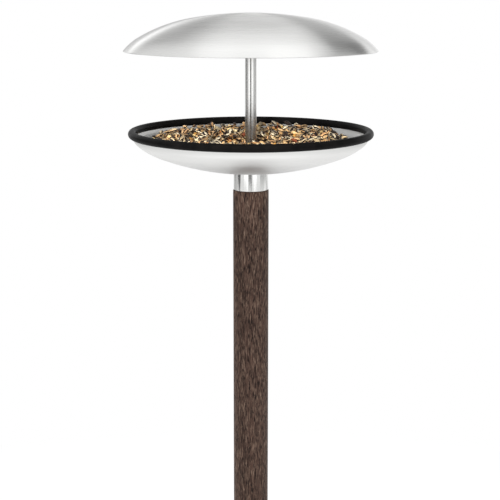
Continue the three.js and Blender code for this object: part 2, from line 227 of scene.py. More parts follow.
def lathe(name, outline, sides):
    """Mesh of revolution about Z of a closed outline of (radius, height), anticlockwise.

    Points on the axis become one vertex each, and the side that lies on the axis has no face.
    """
    points, rings = [], []
    for radius, height in outline:
        if radius <= 0:
            rings.append([len(points)] * sides)
            points.append((0, 0, height))
            continue
        rings.append(list(range(len(points), len(points) + sides)))
        points += [(radius * math.cos(turn), radius * math.sin(turn), height) for turn in turns(sides)]
    faces = []
    for i, ring in enumerate(rings):
        following = rings[(i + 1) % len(rings)]
        for side in range(sides):
            after = (side + 1) % sides
            corners = [ring[side], ring[after], following[after], following[side]]
            face = list(dict.fromkeys(corners))
            if len(face) > 2:
                faces.append(face)
    return smooth_mesh(name, points, faces)


def tube_outline(inner, outer, low, high, edge):
    return rounded([(inner, low), (outer, low), (outer, high), (inner, high)], edge)


def spun_arcs(rim_radius, shares, slopes):
    """Tangent arcs of a spun sheet's outer face, as (radius, drop, slope, end slope, bend)."""
    crown = rim_radius * shares[0]
    shoulder = crown + (rim_radius - crown) * shares[1]
    arcs = []
    radius = drop = slope = 0.0
    for end_radius, degrees in zip((crown, shoulder, rim_radius), slopes):
        end_slope = math.radians(degrees)
        bend = (end_radius - radius) / (math.sin(end_slope) - math.sin(slope))
        arcs.append((radius, drop, slope, end_slope, bend))
        drop += bend * (math.cos(slope) - math.cos(end_slope))
        radius, slope = end_radius, end_slope
    return arcs


def spun_face(rim_radius, shares, slopes, start_radius=0.0):
    """Points (radius, drop, slope) of the outer face from a radius in its first arc to the rim."""
    arcs = spun_arcs(rim_radius, shares, slopes)
    first_slope = math.asin(start_radius / arcs[0][4])
    face = []
    for (radius, drop, slope, end_slope, bend), steps in zip(arcs, ARC_STEPS):
        start = first_slope if not face else slope
        for step in range(1 if face else 0, steps + 1):
            turn = start + (end_slope - start) * step / steps
            out = radius + bend * (math.sin(turn) - math.sin(slope))
            down = drop + bend * (math.cos(slope) - math.cos(turn))
            face.append((out, down, turn))
    return face


def inset(point, depth):
    """Point of a face moved inwards, square to its slope."""
    radius, drop, slope = point
    return radius - depth * math.sin(slope), drop + depth * math.cos(slope), slope


def along(point, distance):
    """Point of a face moved outwards along its slope."""
    radius, drop, slope = point
    return radius + distance * math.cos(slope), drop + distance * math.sin(slope), slope


# Materials


class Shader:
    """A material, with short calls that add and link its nodes."""

    def __init__(self, name, **sockets):
        self.material = bpy.data.materials.new(name)
        self.material.use_nodes = True
        self.tree = self.material.node_tree
        self.surface = self.tree.nodes["Principled BSDF"]
        self.set(**sockets)

    def node(self, kind, inputs=(), **settings):
        made = self.tree.nodes.new("ShaderNode" + kind)
        for key, value in settings.items():
            setattr(made, key, value)
        for key, value in dict(inputs).items():
            self.feed(made.inputs[key], value)
        return made

    def feed(self, socket, value):
        if isinstance(value, bpy.types.NodeSocket):
            self.tree.links.new(value, socket)
        else:
            socket.default_value = value

    def place(self):
        """Position on the piece, at rest in the row frame."""
        return self.node("TexCoord").outputs["Object"]

    def math(self, operation, a, b=0.0):
        return self.node("Math", {0: a, 1: b}, operation=operation).outputs[0]

    def scaled(self, vector, x, y, z):
        made = self.node("VectorMath", {0: vector, 1: (x, y, z)}, operation="MULTIPLY")
        return made.outputs[0]

    def noise(self, vector, scale, detail=2.0, roughness=0.5):
        inputs = {"Vector": vector, "Scale": scale, "Detail": detail, "Roughness": roughness}
        return self.node("TexNoise", inputs).outputs["Fac"]

    def spun_noise(self, lines, round_scale, detail=2.0):
        """Noise drawn out round the axis, with so many lines to the metre across."""
        place = self.place()
        xyz = self.node("SeparateXYZ", {0: place})
        flat = self.scaled(place, 1, 1, 0)
        radius = self.node("VectorMath", {0: flat}, operation="LENGTH").outputs["Value"]
        unit = self.node("VectorMath", {0: flat}, operation="NORMALIZE").outputs[0]
        turn = self.node("SeparateXYZ", {0: unit})
        across = self.math("MULTIPLY", radius, lines)
        up = self.math("MULTIPLY", xyz.outputs["Z"], lines)
        cosine = self.math("MULTIPLY", turn.outputs["X"], round_scale)
        sine = self.math("MULTIPLY", turn.outputs["Y"], round_scale)
        vector = self.node("CombineXYZ", {0: across, 1: up, 2: cosine}).outputs[0]
        inputs = {"Vector": vector, "W": sine, "Scale": 1.0, "Detail": detail}
        return self.node("TexNoise", inputs, noise_dimensions="4D").outputs["Fac"]

    def spread(self, value, low, high, to_low=0.0, to_high=1.0):
        """Maps low..high of a value to to_low..to_high, clamped."""
        inputs = {0: value, 1: low, 2: high, 3: to_low, 4: to_high}
        return self.node("MapRange", inputs, clamp=True).outputs[0]

    def ramp(self, value, *stops, interpolation="LINEAR"):
        made = self.node("ValToRGB", {0: value})
        made.color_ramp.interpolation = interpolation
        elements = made.color_ramp.elements
        while len(elements) < len(stops):
            elements.new(1.0)
        for element, (position, colour) in zip(elements, stops):
            element.position = position
            element.color = (*colour, 1)
        return made.outputs["Color"]

    def mix(self, a, b, share, blend="MIX"):
        made = self.node("Mix", data_type="RGBA", blend_type=blend)
        for socket, value in zip((made.inputs[0], made.inputs[6], made.inputs[7]), (share, a, b)):
            self.feed(socket, (*value, 1) if isinstance(value, tuple) else value)
        return made.outputs[2]

    def bump(self, height, distance, strength):
        inputs = {"Height": height, "Distance": distance, "Strength": strength}
        return self.node("Bump", inputs).outputs["Normal"]

    def set(self, **sockets):
        """Sets or links sockets of the surface, named with _ for a space."""
        for socket, value in sockets.items():
            self.feed(self.surface.inputs[socket.replace("_", " ")], value)


def ring_steel(name, rough, anisotropy, across=0.25):
    """Stainless steel finished in fine rings. Highlights spread across them, or along them at 0."""
    clouding = 0.02  # change in roughness
    shader = Shader(name, Metallic=1.0, Anisotropic=anisotropy, Anisotropic_Rotation=across)
    fine = shader.spun_noise(lines=5200, round_scale=1.6, detail=3)
    rings = shader.spun_noise(lines=900, round_scale=0.7)
    clouds = shader.spun_noise(lines=55, round_scale=1.1)
    colour = shader.ramp(clouds, (0.3, (0.73, 0.73, 0.72)), (0.7, (0.77, 0.77, 0.76)))
    tone = shader.ramp(fine, (0.35, (0.9, 0.9, 0.9)), (0.65, (1, 1, 1)))
    colour = shader.mix(colour, tone, 0.5, "MULTIPLY")
    rough = shader.math("ADD", rough, shader.spread(fine, 0.3, 0.7, -clouding, clouding))
    rough = shader.math("ADD", rough, shader.spread(clouds, 0.3, 0.7, -clouding / 2, clouding / 2))
    lines = shader.math("ADD", fine, shader.math("MULTIPLY", rings, 0.3))
    tangent = shader.node("Tangent", direction_type="RADIAL", axis="Z").outputs[0]
    normal = shader.bump(lines, 0.003 * MM, 0.5)
    shader.set(Base_Color=colour, Roughness=rough, Normal=normal, Tangent=tangent)
    return shader.material


def plain_steel():
    """Turned or cut stainless steel, with a mill finish and small scratches."""
    shader = Shader("plain_steel", Metallic=1.0)
    place = shader.place()
    mill = shader.noise(place, 140, detail=5, roughness=0.65)
    scratch = shader.noise(shader.scaled(place, 1, 1, 0.12), 1900, detail=2)
    colour = shader.ramp(mill, (0.3, (0.5, 0.51, 0.52)), (0.7, (0.64, 0.65, 0.66)))
    scratched = shader.spread(scratch, 0.55, 0.75, 0, 0.08)
    rough = shader.math("ADD", shader.spread(mill, 0.3, 0.7, 0.34, 0.46), scratched)
    normal = shader.bump(shader.math("ADD", mill, scratch), 0.02 * MM, 0.5)
    shader.set(Base_Color=colour, Roughness=rough, Normal=normal)
    return shader.material


def black_rubber():
    """Smooth moulded rubber with a faint bloom."""
    shader = Shader("black_rubber", Specular_IOR_Level=0.03)
    place = shader.place()
    bloom = shader.noise(place, 45, detail=4, roughness=0.6)
    grain = shader.noise(place, 2600, detail=2)
    colour = shader.ramp(bloom, (0.35, (0.003, 0.003, 0.003)), (0.7, (0.007, 0.0062, 0.006)))
    rough = shader.spread(bloom, 0.3, 0.7, 0.34, 0.44)
    normal = shader.bump(grain, 0.02 * MM, 0.4)
    shader.set(Base_Color=colour, Roughness=rough, Normal=normal)
    return shader.material


def dark_wood():
    """Dark oiled hardwood: straight grain up the post, open pores, and lighter flecks between them."""
    shader = Shader("dark_wood", Specular_IOR_Level=0.14)
    place = shader.place()
    figure = shader.noise(shader.scaled(place, 1, 1, 0.08), 60, detail=4, roughness=0.6)
    grain = shader.noise(shader.scaled(place, 1, 1, 0.04), 340, detail=5, roughness=0.7)
    pores = shader.noise(shader.scaled(place, 1, 1, 0.13), 860, detail=2, roughness=0.6)
    flecks = shader.noise(shader.scaled(place, 1, 1, 0.1), 760, detail=3, roughness=0.65)
    colour = shader.ramp(
        figure,
        (0.32, (0.055, 0.031, 0.022)),
        (0.52, (0.083, 0.048, 0.036)),
        (0.7, (0.11, 0.068, 0.052)),
    )
    tone = shader.ramp(grain, (0.34, (0.5, 0.46, 0.44)), (0.64, (1.15, 1.12, 1.1)))
    colour = shader.mix(colour, tone, 0.9, "MULTIPLY")
    light = shader.spread(flecks, 0.5, 0.7, 0, 0.9)
    colour = shader.mix(colour, (0.25, 0.17, 0.126), light)
    dark = shader.spread(pores, 0.51, 0.62, 0, 0.98)
    colour = shader.mix(colour, (0.012, 0.007, 0.006), dark)
    pitted = shader.math("MULTIPLY", dark, 0.3)
    rough = shader.math("ADD", shader.spread(grain, 0.3, 0.7, 0.42, 0.54), pitted)
    height = shader.math("SUBTRACT", shader.math("MULTIPLY", grain, 0.3), dark)
    normal = shader.bump(height, 0.25 * MM, 0.7)
    shader.set(Base_Color=colour, Roughness=rough, Normal=normal)
    return shader.material


def seed_shader(name, rough):
    """Shader of grains, and the colour and place in its grain that each vertex holds."""
    shader = Shader(name, Roughness=rough)
    colour = shader.node("Attribute", attribute_name="grain_colour").outputs["Vector"]
    place = shader.node("Attribute", attribute_name="grain_place").outputs["Vector"]
    return shader, colour, place


def sunflower_seed():
    """Dark hulls with pale stripes that run lengthwise."""
    shader, colour, place = seed_shader("sunflower_seed", 0.5)
    _, y, z = shader.node("SeparateXYZ", {0: place}).outputs
    turn = shader.math("ARCTAN2", z, y)
    waver = shader.noise(shader.place(), 260, detail=2)
    waver = shader.math("MULTIPLY", waver, 5.0)
    phase = shader.math("ADD", shader.math("MULTIPLY", turn, 3.0), waver)
    stripe = shader.spread(shader.math("SINE", phase), 0.0, 0.2)
    fibre = shader.noise(shader.place(), 2600, detail=2)
    tone = shader.ramp(fibre, (0.3, (0.7, 0.68, 0.66)), (0.6, (1, 1, 1)))
    pale = shader.mix(colour, tone, 0.7, "MULTIPLY")
    hull = shader.mix((0.016, 0.008, 0.005), pale, stripe)
    normal = shader.bump(shader.math("ADD", fibre, stripe), 0.12 * MM, 0.5)
    shader.set(Base_Color=hull, Normal=normal)
    return shader.material


def grain_seed():
    """Smooth grains, darker at one end and mottled."""
    shader, colour, place = seed_shader("grain_seed", 0.46)
    x = shader.node("SeparateXYZ", {0: place}).outputs["X"]
    mottle = shader.noise(shader.place(), 900, detail=3, roughness=0.6)
    tone = shader.ramp(mottle, (0.3, (0.62, 0.56, 0.5)), (0.62, (1.05, 1.03, 1.0)))
    colour = shader.mix(colour, tone, 0.75, "MULTIPLY")
    tip = shader.spread(x, 0.32, 0.5, 0, 0.6)
    colour = shader.mix(colour, (0.09, 0.05, 0.03), tip)
    shader.set(Base_Color=colour, Normal=shader.bump(mottle, 0.1 * MM, 0.5))
    return shader.material


def kernel_seed():
    """Broken maize and split nuts, with a mealy surface."""
    shader, colour, _ = seed_shader("kernel_seed", 0.6)
    meal = shader.noise(shader.place(), 700, detail=5, roughness=0.7)
    tone = shader.ramp(meal, (0.32, (0.72, 0.64, 0.5)), (0.6, (1.04, 1.02, 1.0)))
    colour = shader.mix(colour, tone, 0.8, "MULTIPLY")
    shader.set(Base_Color=colour, Normal=shader.bump(meal, 0.3 * MM, 0.6))
    return shader.material


def seed_filling_painted_shade():
    """Mass of small grains under the loose ones, with painted shade: its colours are kept dark as grains
    in shadow, and darker still at the gaps between them.
    """
    shader = Shader("seed_filling_painted_shade", Roughness=0.8)
    cells = shader.node("TexVoronoi", {"Vector": shader.place(), "Scale": 240.0})
    share = shader.node("SeparateColor", {0: cells.outputs["Color"]}).outputs[0]
    # Painted shade: grain colours darkened as if in the shadow of the loose grains above
    colour = shader.ramp(
        share,
        (0.0, (0.16, 0.1, 0.05)),
        (0.3, (0.07, 0.03, 0.018)),
        (0.5, (0.24, 0.17, 0.1)),
        (0.75, (0.012, 0.009, 0.008)),
        interpolation="CONSTANT",
    )
    # Painted shade: the colour darkens towards the edges of the cells, where shade falls between grains;
    # the same mask gives the bump
    edge = shader.spread(cells.outputs["Distance"], 0.3, 0.75, 1.0, 0.15)
    colour = shader.mix(colour, (0.02, 0.012, 0.01), shader.math("SUBTRACT", 1.0, edge))
    shader.set(Base_Color=colour, Normal=shader.bump(edge, 1.2 * MM, 0.8))
    return shader.material


# World and stage


# Studio round the object. Cards: azimuth, elevation, half width, half height and softness in degrees,
# and brightness. Azimuth 0 is the camera's side, 90 the right and 180 behind.
STUDIO_BASE = 1.08
STUDIO_CARDS = (
    (0, 86, 200, 20, 10, 1.45),  # ceiling
    (62, 56, 36, 9, 9, 1.5),  # ceiling light on the right
    (180, 22, 22, 12, 8, 0.78),  # back wall
    (-170, 3, 7, 9, 3, 0.62),  # grey door in it
    (-168, 37, 19, 8, 6, 0.28),  # dark beam above the door
    (-161, 18.5, 10, 1.5, 3, 1.6),  # narrow strip light, which draws the streak on the roof
    (140, 35, 13, 10, 7, 0.08),  # black flag, behind on the right
    (92, 28, 18, 16, 10, 0.65),  # grey screen on the right
    (-173, -23, 5, 6, 5, 0.2),  # shade behind, below the dish
    (180, -18, 60, 3, 9, 0.6),  # far edge of the floor
    (0, -80, 180, 15, 13, 1.36),  # lit ground below
    (125, 6, 22, 6, 7, 1.2),  # pale wall, right
    (-115, 6, 20, 8, 8, 0.5),  # grey screen on the left
    (-132, -4, 9, 6, 5, 0.28),  # dark box, left
    (0, -12, 100, 4, 4, 0.94),  # low wall in front
    (-125, -11, 26, 3, 3, 0.65),  # low shade, left
    (112, -11, 8, 4, 7, 1.3),  # low light, right
    (96, -3, 30, 3.5, 5, 0.46),  # dark table on the right
    (-56, 2, 7, 12, 6, 1.0),  # wall beside the window
    (-30, 8, 13, 12, 6, 1.8),  # window, front left
    (-24, -10, 3, 6, 4, 1.45),  # its lower pane
    (27, 8, 10, 12, 6, 1.75),  # window, front right
    (27, -10, 2, 6, 4, 1.5),  # its lower pane
    (-84, -1, 9, 5, 6, 0.0),  # dark stand on the left
    (-84, -11, 3, 5, 3, 0.0),  # its foot
    (-6, 0, 9, 6, 4, 0.0),  # camera
    (3, -10, 1.5, 4, 2.5, 0.1),  # its tripod
)


class WorldShader(Shader):
    """The same calls on the world's nodes."""

    def __init__(self, world):
        world.use_nodes = True
        self.tree = world.node_tree
        self.surface = self.tree.nodes["Background"]

    def within(self, value, middle, half, soft):
        """1 within half of middle, falling to 0 over soft. Across 180 degrees it goes on at -180."""
        off = self.math("SUBTRACT", value, middle)
        wrapped = self.node("Math", {0: off, 1: -math.pi, 2: math.pi}, operation="WRAP").outputs[0]
        inputs = {0: self.math("ABSOLUTE", wrapped), 1: half, 2: half + soft, 3: 1.0, 4: 0.0}
        return self.node("MapRange", inputs, interpolation_type="SMOOTHSTEP").outputs[0]


def make_world():
    """Soft white studio with pale and dark cards, which the steel reflects. The camera sees white."""
    world = bpy.data.worlds.new("studio")
    bpy.context.scene.world = world
    shader = WorldShader(world)
    direction = shader.node("SeparateXYZ", {0: shader.node("TexCoord").outputs["Generated"]})
    x, y, z = direction.outputs
    azimuth = shader.math("ARCTAN2", x, shader.math("MULTIPLY", y, -1.0))
    elevation = shader.math("ARCSINE", z)
    level = STUDIO_BASE
    for *degrees, brightness in STUDIO_CARDS:
        middle, middle_height, half_width, half_height, soft = map(math.radians, degrees)
        width = shader.within(azimuth, middle, half_width, soft)
        height = shader.within(elevation, middle_height, half_height, soft)
        share = shader.math("MULTIPLY", width, height)
        difference = shader.math("SUBTRACT", brightness, level)
        level = shader.math("ADD", level, shader.math("MULTIPLY", difference, share))
    camera_ray = shader.node("LightPath").outputs["Is Camera Ray"]
    to_white = shader.math("MULTIPLY", camera_ray, shader.math("SUBTRACT", 1.0, level))
    shader.set(Color=(1, 1, 1, 1), Strength=shader.math("ADD", level, to_white))


FLOOR_RADIUS = 8.0
FLOOR_THICKNESS = 10 * MM
FLOOR_SIDES = 64
FLOOR_FADE = (0.9, 2.4)  # from the foot, the floor fades to plain white over this stretch
FLOOR_ALBEDO = 0.8
FLOOR_LIFT = 0.3  # added for the camera, so that the open floor is white and a shadow still shows


def make_floor():
    """Pale round floor under the spike's tip, which keeps the object's shadow."""
    high = foot("spike_blade") - SEAT_GAP
    low = high - FLOOR_THICKNESS
    mesh = lathe("floor", [(0, low), (FLOOR_RADIUS, low), (FLOOR_RADIUS, high), (0, high)], FLOOR_SIDES)
    floor = bpy.data.objects.new("floor", mesh)
    bpy.context.scene.collection.objects.link(floor)
    shader = Shader("floor")
    flat = shader.scaled(shader.place(), 1, 1, 0)
    distance = shader.node("VectorMath", {0: flat}, operation="LENGTH").outputs["Value"]
    fade = shader.spread(distance, *FLOOR_FADE)
    path = shader.node("LightPath")
    seen = shader.math("MAXIMUM", path.outputs["Is Camera Ray"], path.outputs["Is Glossy Ray"])
    diffuse = shader.node("BsdfDiffuse", {"Color": (FLOOR_ALBEDO,) * 3 + (1,)})
    lift = shader.node("Emission", {"Strength": shader.math("MULTIPLY", seen, FLOOR_LIFT)})
    white = shader.node("Emission", {"Strength": 1.0})
    near = shader.node("AddShader", {0: diffuse.outputs[0], 1: lift.outputs[0]})
    share = shader.math("MULTIPLY", fade, seen)
    mixed = shader.node("MixShader", {0: share, 1: near.outputs[0], 2: white.outputs[0]})
    shader.feed(shader.tree.nodes["Material Output"].inputs["Surface"], mixed.outputs[0])
    mesh.materials.append(shader.material)
    floor.visible_glossy = False  # the steel mirrors the studio's own lower half


def make_camera():
    """Camera at the place and angle that the photograph's outlines give."""
    camera = bpy.data.objects.new("camera", bpy.data.cameras.new("camera"))
    bpy.context.scene.collection.objects.link(camera)
    camera.data.sensor_width = SENSOR_WIDTH
    camera.data.lens = FOCAL_PIXELS / PHOTO_PIXELS * SENSOR_WIDTH
    low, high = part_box("rim_bead")
    aside = (PHOTO_PIXELS / 2 - AXIS_PIXEL) / FOCAL_PIXELS * CAMERA_DISTANCE
    camera.location = (aside, -CAMERA_DISTANCE, (low.z + high.z) / 2 + CAMERA_RISE)
    camera.rotation_euler = (math.pi / 2 - CAMERA_PITCH, 0, 0)
    bpy.context.scene.camera = camera


LAMP_PLACE = (-0.25, -1.5, 1.4)
LAMP_WIDTH = 0.3
LAMP_HEIGHT = 0.06
LAMP_SPREAD = math.radians(12)
LAMP_WATTS = 0.28
LAMP_AIM = 15 * MM  # above the dish's bead


def make_seed_lamp():
    """Low soft beam that reaches the seed under the roof, and isn't mirrored in the steel."""
    lamp = bpy.data.objects.new("seed_lamp", bpy.data.lights.new("seed_lamp", "AREA"))
    bpy.context.scene.collection.objects.link(lamp)
    lamp.data.shape = "RECTANGLE"
    lamp.data.size = LAMP_WIDTH
    lamp.data.size_y = LAMP_HEIGHT
    lamp.data.spread = LAMP_SPREAD
    lamp.data.energy = LAMP_WATTS
    lamp.location = LAMP_PLACE
    lamp.visible_glossy = False
    target = Vector((0, 0, top("rim_bead") + LAMP_AIM))
    lamp.rotation_euler = (target - Vector(LAMP_PLACE)).to_track_quat("-Z", "Y").to_euler()


# Pieces


def make_roof(steel):
    """Spun roof, with an even sheet from its top to its rim."""
    face = spun_face(outer_radius("roof_shell"), ROOF_SHARES, ROOF_SLOPES)
    height = top("roof_shell")
    inner = [inset(point, SHEET) for point in face]
    outline = [(radius, height - drop) for radius, drop, _ in inner]
    outline += [(radius, height - drop) for radius, drop, _ in reversed(face)]
    mesh = lathe("roof_spun", rounded(outline, SHEET_EDGE), FINE_SIDES)
    add_object("roof_spun", mesh, "roof", "brushed_steel", steel, "roof_shell")


def dish_faces():
    """Outer and inner faces of the dish from the seat to its edge, as (radius, height)."""
    face = spun_face(DISH_RIM, DISH_SHARES, DISH_SLOPES, DISH_SEAT)
    crown = foot("dish") - face[0][1]
    outer = [*face, along(face[-1], BEAD_RADIUS + EDGE_REACH)]
    inner = [inset(point, SHEET) for point in outer[1:]]
    return [[(radius, crown + drop) for radius, drop, _ in points] for points in (outer, inner)]


def make_dish(steel):
    """Spun dish with its pressed seat and the hole for the stud."""
    outer, inner = dish_faces()
    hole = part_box("clamp_stud")[1].x + SEAT_GAP
    low = foot("dish")
    outline = [(hole, low), *outer, *reversed(inner), (DISH_SEAT, low + SHEET), (hole, low + SHEET)]
    mesh = lathe("dish_spun", rounded(outline, SHEET_EDGE), FINE_SIDES)
    add_object("dish_spun", mesh, "dish", "brushed_steel", steel, "dish")


def make_bead(rubber):
    """Round rubber bead with a slot that goes over the dish's edge."""
    rim = spun_face(DISH_RIM, DISH_SHARES, DISH_SLOPES, DISH_SEAT)
    crown = foot("dish") - rim[0][1]
    radius, drop, slope = inset(along(rim[-1], BEAD_RADIUS), SHEET / 2)
    middle = np.array((radius, crown + drop))
    half = SHEET / 2 + SEAT_GAP
    opening = math.asin(half / BEAD_RADIUS)
    outline = []
    for step in range(BEAD_STEPS + 1):
        turn = slope + math.pi + opening + (2 * math.pi - 2 * opening) * step / BEAD_STEPS
        outline.append(middle + BEAD_RADIUS * np.array((math.cos(turn), math.sin(turn))))
    outward = np.array((math.cos(slope), math.sin(slope)))
    aside = np.array((-outward[1], outward[0]))
    outline += [middle + outward * (EDGE_REACH + SEAT_GAP) + aside * side for side in (half, -half)]
    mesh = lathe("bead_round", [tuple(point) for point in outline], FINE_SIDES)
    add_object("bead_round", mesh, "dish", "black_rubber", rubber, "rim_bead")


def make_ring(name, node, body, slot, material, inner, edge=FINE_EDGE, sides=ROUND_SIDES):
    """Fine ring or tube in place of a CAD one, which gives its outer radius and its ends."""
    outline = tube_outline(inner, outer_radius(node), foot(node), top(node), edge)
    add_object(name, lathe(name, outline, sides), body, slot, material, node)


def make_post(wood):
    """Wooden post, bored at the foot and turned down to its tenon."""
    radius = outer_radius("post")
    low, shoulder = foot("post"), foot("collar_tube") - SHADOW_GAP
    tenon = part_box("collar_plate")[1].x
    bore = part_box("post_foot_insert")[1].x + SEAT_GAP
    bore_top = top("spike_stud") + DRILL_ALLOWANCE
    outline = [
        (0, bore_top),
        (bore, bore_top),
        (bore, low),
        (radius, low),
        (radius, shoulder),
        (tenon, shoulder),
        (tenon, top("post")),
        (0, top("post")),
    ]
    mesh = lathe("post_wood", rounded(outline, POST_EDGE), ROUND_SIDES)
    add_object("post_wood", mesh, "post", "dark_wood", wood, "post")


def make_flange(steel):
    """Ground flange with turned edges."""
    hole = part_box("spike_stud")[1].x + SEAT_GAP
    radius, high = outer_radius("ground_flange"), top("ground_flange")
    outline = [
        (hole, 0),
        (radius, 0),
        (radius, high - FLANGE_BEVEL),
        (radius - FLANGE_BEVEL, high),
        (hole, high),
    ]
    mesh = lathe("flange_turned", rounded(outline, FLANGE_EDGE), ROUND_SIDES)
    add_object("flange_turned", mesh, "post", "plain_steel", steel, "ground_flange")


def weld_bead(path):
    """Round bead along a path, rippled as a weld is and closed at its ends: (points, faces)."""
    upward = Vector((0, 0, 1))
    path = [Vector(point) for point in path]
    points, faces, run = [], [], 0.0
    for i, here in enumerate(path):
        before, after = path[max(i - 1, 0)], path[min(i + 1, len(path) - 1)]
        run += (here - before).length
        heading = (after - before).normalized()
        aside = heading.cross(upward).normalized()
        ripple = 1 + WELD_SWELL * math.cos(2 * math.pi * run / WELD_RIPPLE)
        radius = WELD_RADIUS * ripple * (WELD_END_SHARE if i in (0, len(path) - 1) else 1)
        for turn in turns(WELD_SIDES):
            points.append(here + radius * (math.cos(turn) * aside + math.sin(turn) * upward))
        for side in range(WELD_SIDES if i else 0):
            after_side = (side + 1) % WELD_SIDES
            low, high = (i - 1) * WELD_SIDES, i * WELD_SIDES
            faces.append((low + side, low + after_side, high + after_side, high + side))
    faces.append(tuple(range(WELD_SIDES)))
    faces.append(tuple(reversed(range((len(path) - 1) * WELD_SIDES, len(path) * WELD_SIDES))))
    return [tuple(point) for point in points], faces


def make_boss(steel):
    """Boss under the roof, whose top follows the inside of the sheet, and the weld round it."""
    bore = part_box("roof_stud")[1].x + SEAT_GAP
    radius, low = outer_radius("roof_boss"), foot("roof_boss")
    bore_top = top("roof_stud") + SEAT_GAP
    bend = spun_arcs(outer_radius("roof_shell"), ROOF_SHARES, ROOF_SLOPES)[0][4]
    slope = math.asin(radius / bend)
    on_face = (radius, bend * (1 - math.cos(slope)), slope)
    edge_radius, edge_drop, _ = inset(on_face, SHEET + SEAT_GAP)
    edge_height = top("roof_shell") - edge_drop
    outline = [
        (0, bore_top),
        (bore, bore_top),
        (bore, low),
        (radius - BOSS_BEVEL, low),
        (radius, low + BOSS_BEVEL),
        (edge_radius, edge_height),
        (0, top("roof_boss")),
    ]
    mesh = lathe("boss_turned", rounded(outline, FINE_EDGE), ROUND_SIDES)
    add_object("boss_turned", mesh, "roof", "plain_steel", steel, "roof_boss")
    around = turns(2 * ROUND_SIDES)
    ring = [(radius * math.cos(turn), radius * math.sin(turn), edge_height) for turn in around]
    points, faces = weld_bead([*ring, ring[0]])
    add_object("boss_weld", smooth_mesh("boss_weld", points, faces), "roof", "plain_steel", steel)


def make_spike_welds(steel):
    """Welds on both faces of the blade and of the fins, under the flange."""
    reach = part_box("spike_blade")[1].x - WELD_END
    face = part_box("spike_blade")[1].y
    start = face + 2 * WELD_END
    length = reach - start
    steps = int(length / WELD_RIPPLE * WELD_STEPS)
    points, faces = [], []
    for quarter in range(4):
        spin = Matrix.Rotation(quarter * math.pi / 2, 3, "Z")
        for side in (face, -face):
            outs = [start + length * i / steps for i in range(steps + 1)]
            weld_points, weld_faces = weld_bead([spin @ Vector((out, side, 0)) for out in outs])
            faces += [tuple(len(points) + corner for corner in corners) for corners in weld_faces]
            points += weld_points
    add_object("spike_welds", smooth_mesh("spike_welds", points, faces), "post", "plain_steel", steel)


def make_threaded_stud(steel):
    """Stud that clamps the dish, with rows of vertices that follow its thread."""
    radius, low, high = outer_radius("clamp_stud"), foot("clamp_stud"), top("clamp_stud")
    rows = int(math.ceil((high - low) / THREAD_PITCH) + 1) * THREAD_ROWS
    mesh = bpy.data.meshes.new("stud_threaded")
    form = bmesh.new()
    grid = []
    for side, turn in enumerate(turns(SMALL_SIDES)):
        line = []
        for row in range(-THREAD_ROWS, rows + THREAD_ROWS):
            height = low + THREAD_PITCH * (row / THREAD_ROWS + side / SMALL_SIDES)
            height = min(max(height, low), high)
            out = radius - (THREAD_DEPTH if row % THREAD_ROWS == 0 else 0)
            out = min(out, radius - THREAD_CHAMFER + min(height - low, high - height))
            line.append(form.verts.new((out * math.cos(turn), out * math.sin(turn), height)))
        grid.append(line)
    for side in range(SMALL_SIDES):
        wraps = side == SMALL_SIDES - 1
        line, following = grid[side], grid[0 if wraps else side + 1]
        shift = THREAD_ROWS if wraps else 0
        for row in range(len(line) - 1 - shift):
            corners = (line[row], following[row + shift], following[row + 1 + shift], line[row + 1])
            form.faces.new(corners)
    bmesh.ops.remove_doubles(form, verts=form.verts, dist=0.001 * MM)
    bmesh.ops.holes_fill(form, edges=form.edges)
    bmesh.ops.recalc_face_normals(form, faces=form.faces)
    form.to_mesh(mesh)
    form.free()
    mesh.shade_smooth()
    mesh.set_sharp_from_angle(angle=SHARP_ANGLE)
    add_object("stud_threaded", mesh, "roof", "plain_steel", steel, "clamp_stud")


# Bird seed


class Bed:
    """Heights of the filler under the loose grains and of the dish's wall, by distance out."""

    def __init__(self):
        low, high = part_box("rim_bead")
        self.level = (low.z + high.z) / 2 - BED_TOP - BED_LAYER
        self.inner = dish_faces()[1]

    def filler(self, radius):
        inner = np.clip((BED_RING_RADIUS - radius) / (BED_RING_RADIUS - BED_HOLE), 0, 1)
        outer = (radius - BED_RING_RADIUS) / (BED_EDGE_RADIUS - BED_RING_RADIUS)
        outer = np.clip(outer, 0, BED_FALL_REACH)
        return self.level - BED_HOLLOW * inner - BED_FALL * outer**2

    def wall(self, radius):
        return np.interp(radius, [point[0] for point in self.inner], [point[1] for point in self.inner])


